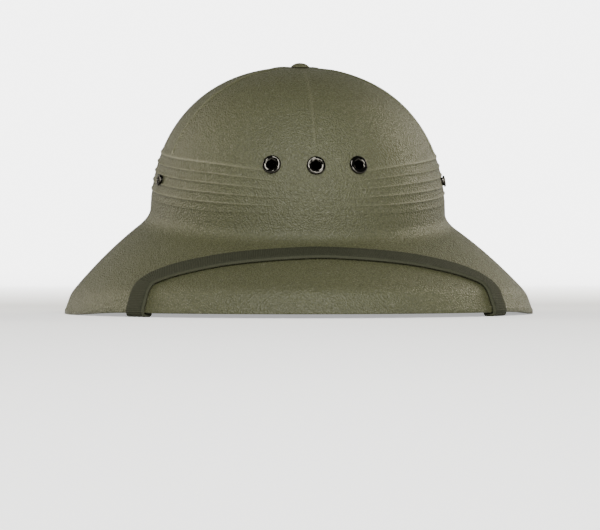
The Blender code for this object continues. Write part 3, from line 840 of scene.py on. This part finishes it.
def shell_material(name, base, roughness, pebble_scale, grain):
    """Moulded olive plastic: pebbled grain, soft patches, painted shade in the pits and a painted
    highlight on the crests and seams.
    """
    finish = Finish(name, roughness, 0.0, specular=0.25)
    pebbles = finish.group(moulded_grain, Pebble_Scale=pebble_scale, Speckle=0.5)
    wear = finish.group(handling_wear, Amount=0.5)
    drift = finish.plus(pebbles["Drift"], wear["Patches"], clamp=True)
    tone = finish.mix(drift, scaled(base, 0.92), scaled(base, 1.20))
    # Painted shade: the pits between the pebbles are darkened, as if shade lay in them
    pits = finish.times(pebbles["Pits"], 0.9, clamp=True)
    pit_shaded = finish.mix(pits, tone, scaled(base, 0.76))
    # Painted highlight: the pleats' crests, and the seams more weakly, are lightened as if they
    # caught the light
    crest = finish.times(finish.add("Attribute", {}, attribute_name="crest")["Fac"], 0.8)
    lightened = finish.mix(crest, pit_shaded, CREST_HIGHLIGHT)
    finish.give("Base Color", finish.mix(wear["Dust"], lightened, PALE_DUST))
    gloss = finish.times(wear["Patches"], 0.10)
    dull = finish.times(pebbles["Pits"], 0.25)
    finish.give("Roughness", finish.plus(finish.plus(gloss, dull), roughness))
    finish.bump(pebbles["Height"], grain, 0.00055)
    return finish.material


def metal_material(name, base):
    """Blackened metal with a polished look, worn a little lighter in places."""
    finish = Finish(name, 0.10, 1.0)
    patches = finish.group(handling_wear, Amount=0.8)["Patches"]
    lightened = finish.plus(patches, 0.5, clamp=True)
    finish.give("Base Color", finish.mix(lightened, scaled(base, 0.8), scaled(base, 1.5)))
    finish.give("Roughness", finish.plus(finish.times(patches, 0.05), 0.11))
    finish.bump(finish.noise(900.0, 2.0, 0.5), 0.04, 0.0001)
    return finish.material


def strap_material(name, base, ribs):
    """Woven strap: ribs across it and fine threads along it, by its own UV map in metres."""
    finish = Finish(name, 0.62, 0.0, specular=0.12)
    parts = finish.add("SeparateXYZ", {0: finish.add("TexCoord", {})["UV"]})
    wave = 2.0 * math.pi / sizes("strap").rib_pitch
    waves = finish.math("SINE", finish.times(parts["X"], wave))
    threads = finish.math("SINE", finish.times(parts["Y"], 2.0 * wave))
    crossing = finish.times(finish.times(waves, threads), 0.5)
    weave = finish.plus(finish.times(waves, ribs), crossing)
    fuzz = finish.noise(2600.0, 2.0, 0.6)
    shade = finish.plus(finish.times(weave, 0.3), 0.5, clamp=True)
    tone = finish.mix(shade, scaled(base, 0.55), scaled(base, 1.45))
    lightened = finish.times(finish.noise(60.0, 3.0, 0.6), 0.25)
    finish.give("Base Color", finish.mix(lightened, tone, scaled(base, 1.7)))
    finish.give("Roughness", finish.plus(finish.times(fuzz, 0.2), 0.62))
    finish.bump(finish.plus(weave, fuzz), 0.55, 0.00018)
    return finish.material


def band_material(name, base, roughness, scale):
    """Imitation leather with a fine crackled grain."""
    finish = Finish(name, roughness, 0.0)
    inputs = {"Vector": finish.place, "Scale": scale}
    cells = finish.add("TexVoronoi", inputs, feature="DISTANCE_TO_EDGE")["Distance"]
    creases = finish.times(cells, 3.0, clamp=True)
    soft = finish.noise(30.0, 3.0, 0.6)
    tone = finish.mix(creases, scaled(base, 0.6), scaled(base, 1.3))
    finish.give("Base Color", finish.mix(finish.times(soft, 0.3), tone, scaled(base, 2.2)))
    finish.give("Roughness", finish.plus(finish.times(soft, 0.2), roughness - 0.1))
    finish.bump(creases, 0.4, 0.0003)
    return finish.material


def get_material(name):
    """A material that is made once, by its name."""
    colours = sizes("colours")
    finishes = {
        # roughness, pebble scale, grain
        "olive_shell_outside": (shell_material, colours.shell, 0.34, 900.0, 1.0),
        # The inner face has a smoother grain and the darker colour, which is painted shade
        "olive_shell_inside": (shell_material, colours.shell_inside, 0.40, 500.0, 0.16),
        "blackened_metal": (metal_material, colours.metal),
        # strength of the ribs
        "strap_weave": (strap_material, colours.strap, 1.0),
        "strap_piping": (strap_material, colours.piping, 0.4),
        # roughness, scale of the creases
        "band_leather": (band_material, colours.band, 0.62, 700.0),
        "band_binding": (band_material, colours.binding, 0.6, 900.0),
    }
    maker, *values = finishes[name]
    return bpy.data.materials.get(name) or maker(name, *values)


class HELMET_OT_shell(bpy.types.Operator):
    """Make the moulded shell with its pleats, seams, brim and lip"""

    bl_idname = "helmet.shell"
    bl_label = "Shell"

    def execute(self, context):
        crown = sizes("crown")
        columns = shell_columns()
        turns = column_turns(columns, 0.5 * crown.width)
        outer, relief = shell_grid(columns, inside=False)
        outer = outer + grid_normals(outer) * relief[..., None]
        inner, _ = shell_grid(columns, inside=True)
        inner = inner - grid_normals(inner) * crown.wall
        lip = np.array(lip_rings(turns))
        rings = np.concatenate((outer, lip, inner[::-1]))
        count = len(columns)
        mesh = new_mesh("shell_skin", rings, ring_faces(len(rings), count, True))
        first_inside = (len(outer) + len(lip) - 2) * count
        last_inside = (len(rings) - 1) * count
        slots = np.zeros(len(mesh.polygons), dtype=np.int32)
        slots[first_inside:last_inside] = 1
        mesh.polygons.foreach_set("material_index", slots)
        # Painted highlight: a mask from the relief that lightens the pleats' crests, and the seams
        # less, in the shell's colour
        lightened = np.clip(relief / crown.pleat_raise, 0.0, 1.0) ** 2
        lightened[:OUTER_DOME_ROWS + 1] *= SEAM_HIGHLIGHT
        crests = np.zeros(len(mesh.vertices))
        crests[:relief.size] = lightened.ravel()
        mesh.attributes.new("crest", "FLOAT", "POINT").data.foreach_set("value", crests)
        shell = new_object("shell_skin", mesh, get_material("olive_shell_outside"),
                           get_material("olive_shell_inside"))
        drill_eyelet_holes(shell)
        shell.data.shade_smooth()
        shell.data.set_sharp_from_angle(angle=math.radians(50.0))
        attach(shell, BODY)
        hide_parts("shell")
        return {"FINISHED"}


class HELMET_OT_button(bpy.types.Operator):
    """Make the low button on the top, with its post"""

    bl_idname = "helmet.button"
    bl_label = "Top button"

    def execute(self, context):
        button = sizes("button")
        wall = sizes("crown").wall
        gap = sizes("eyelets").gap
        radius = 0.5 * button.width
        swell = button.height - button.edge
        foot = -(wall + button.post_below)
        tip = 0.0002
        chamfer = 0.0002
        steps = 14
        profile = [(tip, button.height)]
        for step in range(1, steps + 1):
            share = step / steps
            profile.append((radius * share, button.edge + swell * (1.0 - share ** 2.4)))
        profile += [
            (radius, gap + chamfer),
            (radius - chamfer, gap),
            (0.5 * button.post, gap),
            (0.5 * button.post, foot),
            (tip, foot),
        ]
        mesh = turned_mesh("button_cap", profile, 72)
        piece = new_object("button_cap", mesh, get_material("olive_shell_outside"))
        piece.matrix_world = top_frame()
        mesh.set_sharp_from_angle(angle=math.radians(45.0))
        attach(piece, BODY)
        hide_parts("top_button")
        return {"FINISHED"}


class HELMET_OT_eyelets(bpy.types.Operator):
    """Make the five rolled metal eyelets"""

    bl_idname = "helmet.eyelets"
    bl_label = "Eyelets"

    def execute(self, context):
        for place in eyelet_places():
            self.make_eyelet(sizes("eyelets"), sizes("crown"), *place)
        return {"FINISHED"}

    def make_eyelet(self, eyelets, crown, name, width, bore, lift, seat):
        """One eyelet: a domed flange with pressed flats, the barrel and the inner roll."""
        hole = 0.5 * bore
        barrel = hole + eyelets.metal
        edge = 0.5 * width
        base = lift + eyelets.gap
        back = -(crown.wall + 2.0 * eyelets.gap)
        middle = 0.5 * (hole + edge)
        half = 0.5 * (edge - hole)
        arch = 10
        profile = [(middle - half * cosine,
                    base + eyelets.flange * (UPRIGHT + (1.0 - UPRIGHT) * sine ** ARCH_POWER))
                   for cosine, sine in arc(arch, 0.0, 180.0)]
        profile += [(edge, base), (barrel, base), (barrel, back)]
        inner = half - eyelets.metal
        profile += [(middle + inner * cosine - ROLL_INSET, back - eyelets.roll * sine ** ARCH_POWER)
                    for cosine, sine in arc(arch, 0.0, 180.0)]
        profile.append((hole, back))

        def dent(around, k):
            wave = 0.5 + 0.5 * math.cos(eyelets.crimps * around)
            inward = eyelets.crimp_depth * wave * max(0.0, 1.0 - k / CRIMP_ROWS)
            if not 2 <= k <= arch - 1:
                return 0.0, inward
            return CRIMP_DROP * eyelets.crimp_depth * wave * math.sin(math.pi * k / arch), inward

        mesh = turned_mesh(name + "_ring", profile, 72, dent)
        piece = new_object(name + "_ring", mesh, get_material("blackened_metal"))
        piece.matrix_world = seat
        mesh.set_sharp_from_angle(angle=math.radians(60.0))
        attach(piece, BODY)
        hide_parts(name)


def smooth_route(rows, steps):
    """A smooth curve through rows of numbers, with some steps for each row."""
    rows = np.asarray(rows, dtype=float)
    rows = np.vstack((2.0 * rows[0] - rows[1], rows, 2.0 * rows[-1] - rows[-2]))
    places = []
    for index in range(1, len(rows) - 2):
        before, start, end, after = rows[index - 1:index + 3]
        for step in range(steps):
            t = step / steps
            places.append(0.5 * ((2.0 * start) + (end - before) * t
                                 + (2.0 * before - 5.0 * start + 4.0 * end - after) * t * t
                                 + (3.0 * start - before - 3.0 * end + after) * t ** 3))
    places.append(rows[-2])
    return np.array(places)


def strap_stations():
    """Middle of the strap and the way out of its face, from the front to its right end."""
    crown = sizes("crown")
    rim = sizes("rim")
    strap = sizes("strap")
    turn = strap.rim_turn
    off = strap.outside_gap + 0.5 * strap.thickness
    stations = []
    table = ((-STRAP_ROUTE[1][0], STRAP_ROUTE[1][1]),) + STRAP_ROUTE
    route = smooth_route(table, STRAP_BEND_ROWS)[STRAP_BEND_ROWS:]
    for share, across in route:
        here = share * turn
        side = brim_point(here + TURN_NUDGE, across) - brim_point(here - TURN_NUDGE, across)
        down = brim_point(here, across + ACROSS_NUDGE) - brim_point(here, across - ACROSS_NUDGE)
        normal = unit(np.cross(down, side))
        stations.append((brim_point(here, across) + normal * off, normal))
    line, _ = brim_line(turn, STRAP_BEND_ROWS, STRAP_BRIM_ROWS)
    outward = rim_outward(turn)
    floorward = np.array((0.0, 0.0, -1.0))
    side = unit(np.cross(outward, -floorward))
    normals = []
    for k in range(len(line)):
        down = line[min(k + 1, len(line) - 1)] - line[max(k - 1, 0)]
        normals.append(unit(np.cross(side, down)))
    for place, normal in list(zip(line, normals))[-STRAP_BEND_ROWS:]:
        stations.append((place + normal * off, normal))
    lip_corners = (
        # inward, height, angles under the lip
        (0.0, rim.lip_height, (0.0,)),
        (0.0, 0.0, (0.0, 45.0, 90.0)),
        (rim.lip_width, 0.0, (90.0, 135.0, 180.0)),
    )
    for inward, height, angles in lip_corners:
        for degrees in angles:
            around = math.radians(degrees)
            away = outward * math.cos(around) + floorward * math.sin(around)
            stations.append((rim_point(turn, inward, height) + away * off, away))
    depth = crown.wall + strap.inside_gap + 0.5 * strap.thickness
    for place, normal in list(zip(line, normals))[-2::-1]:
        stations.append((place - normal * depth, -normal))
    for step in range(1, 4):
        rise = crown.fillet_up + (strap.end_rise - crown.fillet_up) * step / 3
        seat = seat_frame(turn, rise)
        out = np.array(seat.to_3x3() @ Vector((0.0, 0.0, 1.0)))
        stations.append((np.array(seat.translation) - out * depth, -out))
    return stations


def strap_section():
    """Outline across the strap: place across, height off the middle, and if it is piping."""
    strap = sizes("strap")
    half = 0.5 * strap.width
    thick = 0.5 * strap.thickness
    edge = half - thick
    ridge = half - strap.piping
    outline = [(edge + thick * cosine, thick * sine, 1) for cosine, sine in arc(6, -90.0, 90.0)]
    slope = 0.0003
    swell = 0.0001
    outline += [
        (ridge + slope, thick + strap.piping_raise, 1),
        (ridge, thick, 1),
        (ridge - slope, thick - strap.piping_raise, 0),
        (ridge - 3.0 * slope, thick, 0),
    ]
    outline += [(x * half, thick + swell * (1.0 - x * x), 0) for x in (0.5, 0.2, -0.2, -0.5)]
    outline += [(thick * cosine - edge, thick * sine, 0) for cosine, sine in arc(6, 90.0, 270.0)]
    return outline


class HELMET_OT_strap(bpy.types.Operator):
    """Make the woven chin strap that lies over the front of the brim"""

    bl_idname = "helmet.strap"
    bl_label = "Chin strap"

    def execute(self, context):
        stations = strap_stations()
        half = smooth_route([np.concatenate(pair) for pair in stations],
                            STRAP_STATION_ROWS)
        mirrored = half[:0:-1] * np.array((-1.0, 1.0, 1.0, -1.0, 1.0, 1.0))
        route = np.concatenate((mirrored, half))
        places = route[:, :3]
        normals = unit(route[:, 3:])
        along = unit(np.gradient(places, axis=0))
        across = unit(np.cross(along, normals))
        face = unit(np.cross(across, along))
        outline = strap_section()
        lengths = np.concatenate(((0.0,), np.cumsum(np.linalg.norm(np.diff(places, axis=0), axis=1))))
        rings = []
        for k in range(len(places)):
            rings.append([places[k] + across[k] * x + face[k] * z for x, z, _ in outline])
        count = len(outline)
        faces = ring_faces(len(rings), count, False)
        end = (len(rings) - 1) * count
        faces.append(tuple(reversed(range(count))))
        faces.append(tuple(end + k for k in range(count)))
        mesh = new_mesh("strap_web", rings, faces)
        slots = [outline[k % count][2] for k in range(len(faces) - 2)] + [0, 0]
        mesh.polygons.foreach_set("material_index", np.array(slots, dtype=np.int32))
        coordinates = mesh.uv_layers.new(name="metres")
        for polygon in mesh.polygons:
            for loop in polygon.loop_indices:
                ring, k = divmod(mesh.loops[loop].vertex_index, count)
                coordinates.data[loop].uv = (lengths[ring], outline[k][0])
        strap = new_object("strap_web", mesh, get_material("strap_weave"),
                           get_material("strap_piping"))
        mesh.set_sharp_from_angle(angle=math.radians(60.0))
        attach(strap, BODY)
        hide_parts("chin_strap")
        return {"FINISHED"}


class HELMET_OT_fastenings(bpy.types.Operator):
    """Finish the strap's loops and the headband's hangers"""

    bl_idname = "helmet.fastenings"
    bl_label = "Loops and hangers"

    def execute(self, context):
        finishes = {
            "strap_loop_left": "blackened_metal",
            "strap_loop_right": "blackened_metal",
            "hanger_front_left": "band_leather",
            "hanger_front_right": "band_leather",
            "hanger_back_left": "band_leather",
            "hanger_back_right": "band_leather",
        }
        for node, finish in finishes.items():
            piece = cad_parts[node]
            piece.material_slots[0].material = get_material(finish)
        return {"FINISHED"}


def band_place(turn, inward, height):
    """A place of the headband, some way in from its outer face."""
    band = sizes("band")
    return join_xyz((0.5 * band.width - inward) * np.sin(turn),
                    -band.ahead - (0.5 * band.long - inward) * np.cos(turn), height)


class HELMET_OT_headband(bpy.types.Operator):
    """Make the headband inside, with a binding and stitches at its lower edge"""

    bl_idname = "helmet.headband"
    bl_label = "Headband"

    def execute(self, context):
        band = sizes("band")
        turns = np.linspace(0.0, 2.0 * math.pi, 240, endpoint=False)
        thick = band.thickness
        soft = BAND_ROUNDING * thick
        steps = 18
        outline = [(0.0, step / steps, 0.0) for step in range(steps + 1)]
        outline += [(soft, 1.0, soft), (thick - soft, 1.0, soft)]
        outline += [(thick, 1.0 - step / steps, 0.0) for step in range(steps + 1)]
        outline += [(thick - soft, 0.0, -soft), (soft, 0.0, -soft)]
        rings = [self.band_ring(band, turns, *row) for row in outline]
        faces = [face[::-1] for face in ring_faces(len(rings), len(turns), True)]
        mesh = new_mesh("headband_wall", rings, faces)
        piece = new_object("headband_wall", mesh, get_material("band_leather"))
        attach(piece, BODY)
        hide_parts("headband")
        self.make_binding(band, turns)
        self.make_stitches(band)
        return {"FINISHED"}

    def band_ring(self, band, turns, inward, share, over):
        """A ring of the band: its distance in, the share of its height and a little more."""
        ring = band_place(turns, inward, 0.0)
        quilt = BAND_QUILT * math.sin(math.pi * share) if inward > 0.0 else 0.0
        low = band.foot_height + BAND_ROUNDING * band.thickness
        high = crown_level(ring[:, 1], band.top_rise) - BAND_ROUNDING * band.thickness
        ring[:, 0] *= 1.0 - quilt / (0.5 * band.width)
        ring[:, 2] = low + (high - low) * share + over
        return ring

    def make_binding(self, band, turns):
        """The pale strip folded round the band's lower edge."""
        out = band.binding_proud
        thick = band.thickness
        low = band.foot_height - out
        high = band.foot_height + band.binding
        fold = 0.0002
        outline = (
            # inward, height
            (-out, high), (-out, low + out), (0.5 * out, low), (thick - 0.5 * out, low),
            (thick + out, low + out), (thick + out, high),
            (thick, high + fold), (0.0, high + fold),
        )
        rings = [band_place(turns, inward, height) for inward, height in outline]
        mesh = new_mesh("headband_binding", rings, ring_faces(len(rings), len(turns), True))
        piece = new_object("headband_binding", mesh, get_material("band_binding"))
        mesh.set_sharp_from_angle(angle=math.radians(70.0))
        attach(piece, BODY)

    def make_stitches(self, band):
        """Short raised stitches over the binding, inside and outside."""
        count = int(math.pi * 0.5 * (band.width + band.long) / band.stitch_pitch)
        step = 2.0 * math.pi / count
        middle = band.foot_height + STITCH_LINE * band.binding
        points = []
        faces = []
        for k in range(count):
            for face, sign in ((-band.binding_proud, -1), (band.thickness + band.binding_proud, 1)):
                start = len(points)
                for way, height, proud in ((-1, 0, 0), (0, -1, 0), (1, 0, 0), (0, 1, 0), (0, 0, 1)):
                    points.append(band_place((k + STITCH_REACH * way) * step,
                                             face + sign * STITCH_RAISE * proud,
                                             middle + STITCH_HALF * height))
                for a, b in ((0, 1), (1, 2), (2, 3), (3, 0)):
                    faces.append((start + a, start + b, start + 4)[::sign])
        mesh = new_mesh("headband_stitches", points, faces)
        piece = new_object("headband_stitches", mesh, get_material("strap_piping"))
        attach(piece, BODY)


class HELMET_OT_stage(bpy.types.Operator):
    """Make the pale floor, the soft lights and the camera"""

    bl_idname = "helmet.stage"
    bl_label = "Stage"

    def execute(self, context):
        stage = sizes("stage")
        self.make_floor(stage)
        self.make_world(stage)
        plain = (1.0, 1.0, 1.0)
        warm = (1.0, 0.93, 0.74)
        lights = (
            # name, place, size, watts, tint
            ("key_light", (-0.35, -1.8, 1.5), 0.9, 66.0, plain),
            ("fill_light", (0.4, -2.3, 0.35), 1.2, 68.0, plain),
            ("left_rim_light", (-1.6, 0.9, 0.7), 0.9, 30.0, warm),
            ("right_rim_light", (1.6, 0.9, 0.8), 0.9, 26.0, warm),
        )
        for name, place, size, watts, tint in lights:
            self.make_light(name, Vector(place), size, watts, tint)
        self.make_camera(stage)
        return {"FINISHED"}

    def make_floor(self, stage):
        """A pale floor that sweeps up behind the helmet."""
        wide = stage.floor_size
        back = 2.5
        glow_from = 0.3
        outline = [(-wide, 0.0)]
        outline += [(back + stage.sweep * sine, stage.sweep * (1.0 - cosine))
                    for cosine, sine in arc(16, 0.0, 90.0)]
        outline.append((back + stage.sweep, wide))
        points = []
        for y, z in outline:
            points += [(-wide, y, z), (wide, y, z)]
        faces = [(2 * k, 2 * k + 1, 2 * k + 3, 2 * k + 2) for k in range(len(outline) - 1)]
        finish = Finish("pale_floor", 0.8, 0.0)
        tone = finish.noise(3.0, 2.0, 0.5)
        finish.give("Base Color", finish.mix(tone, (0.78, 0.78, 0.77), (0.82, 0.82, 0.81)))
        depth = finish.math("SUBTRACT", finish.add("SeparateXYZ", {0: finish.place})["Y"],
                            glow_from)
        glow = finish.math("DIVIDE", depth, back, clamp=True)
        pale = finish.mix(glow, (0.10, 0.10, 0.10), (1.0, 1.0, 1.0))
        seen = finish.add("LightPath", {})["Is Camera Ray"]
        finish.give("Emission Color", finish.mix(seen, (0.0, 0.0, 0.0), pale))
        finish.give("Emission Strength", stage.backdrop_glow)
        floor = new_object("studio_floor", new_mesh("studio_floor", points, faces),
                           finish.material)

    def make_world(self, stage):
        """An even pale light from all round."""
        world = bpy.data.worlds.new("studio_air")
        world.use_nodes = True
        air = world.node_tree.nodes["Background"]
        air.inputs["Color"].default_value = (1.0, 1.0, 1.0, 1.0)
        air.inputs["Strength"].default_value = stage.air
        bpy.context.scene.world = world

    def make_light(self, name, place, size, watts, tint):
        """A square soft light that faces the helmet."""
        lamp = bpy.data.lights.new(name, "AREA")
        lamp.size = size
        lamp.color = tint
        lamp.energy = watts
        self.put_up(name, lamp, place, Vector((0.0, 0.0, 0.08)))

    def make_camera(self, stage):
        """A long lens near the floor, at the side from which the helmet is seen."""
        camera = bpy.data.cameras.new("camera")
        camera.sensor_width = 36.0
        camera.lens = stage.lens
        camera.clip_start = 0.05
        camera.clip_end = 50.0
        camera.shift_y = stage.raised
        ahead = 0.07 * (SHELL_HIGH.y - SHELL_LOW.y)
        middle = Vector((0.0, -ahead, 0.0))
        way = Vector((math.sin(stage.azimuth), -math.cos(stage.azimuth), 0.0))
        place = middle + way * stage.distance + Vector((0.0, 0.0, stage.camera_height))
        target = middle + Vector((0.0, 0.0, stage.aim_height))
        bpy.context.scene.camera = self.put_up("camera", camera, place, target)

    def put_up(self, name, data, place, target):
        """Put a light or the camera at its place, facing a target."""
        thing = bpy.data.objects.new(name, data)
        bpy.context.scene.collection.objects.link(thing)
        thing.location = place
        thing.rotation_euler = (target - place).to_track_quat("-Z", "Y").to_euler()
        return thing


OPERATORS = (
    HELMET_OT_shell,
    HELMET_OT_button,
    HELMET_OT_eyelets,
    HELMET_OT_strap,
    HELMET_OT_fastenings,
    HELMET_OT_headband,
    HELMET_OT_stage,
)


class HELMET_PT_pieces(bpy.types.Panel):
    """The helmet's pieces and their sizes"""

    bl_label = "Pith helmet"
    bl_space_type = "VIEW_3D"
    bl_region_type = "UI"
    bl_category = "Helmet"

    def draw(self, context):
        for operator in OPERATORS:
            self.layout.operator(operator.bl_idname)
        for name, group in GROUPS.items():
            box = self.layout.box()
            box.label(text=group.__doc__)
            for key in group.__annotations__:
                box.prop(getattr(context.scene, name), key)


def register():
    """Register the sizes, the operators and the panel."""
    for name, group in GROUPS.items():
        bpy.utils.register_class(group)
        setattr(bpy.types.Scene, name, bpy.props.PointerProperty(type=group))
    for operator in OPERATORS:
        bpy.utils.register_class(operator)
    bpy.utils.register_class(HELMET_PT_pieces)


def unregister():
    """Take the panel, the operators and the sizes out again."""
    bpy.utils.unregister_class(HELMET_PT_pieces)
    for operator in reversed(OPERATORS):
        bpy.utils.unregister_class(operator)
    for name, group in reversed(GROUPS.items()):
        delattr(bpy.types.Scene, name)
        bpy.utils.unregister_class(group)


def main():
    """Make every piece."""
    register()
    bpy.ops.helmet.shell()
    bpy.ops.helmet.button()
    bpy.ops.helmet.eyelets()
    bpy.ops.helmet.strap()
    bpy.ops.helmet.fastenings()
    bpy.ops.helmet.headband()
    bpy.ops.helmet.stage()


if __name__ == "__main__":
    main()
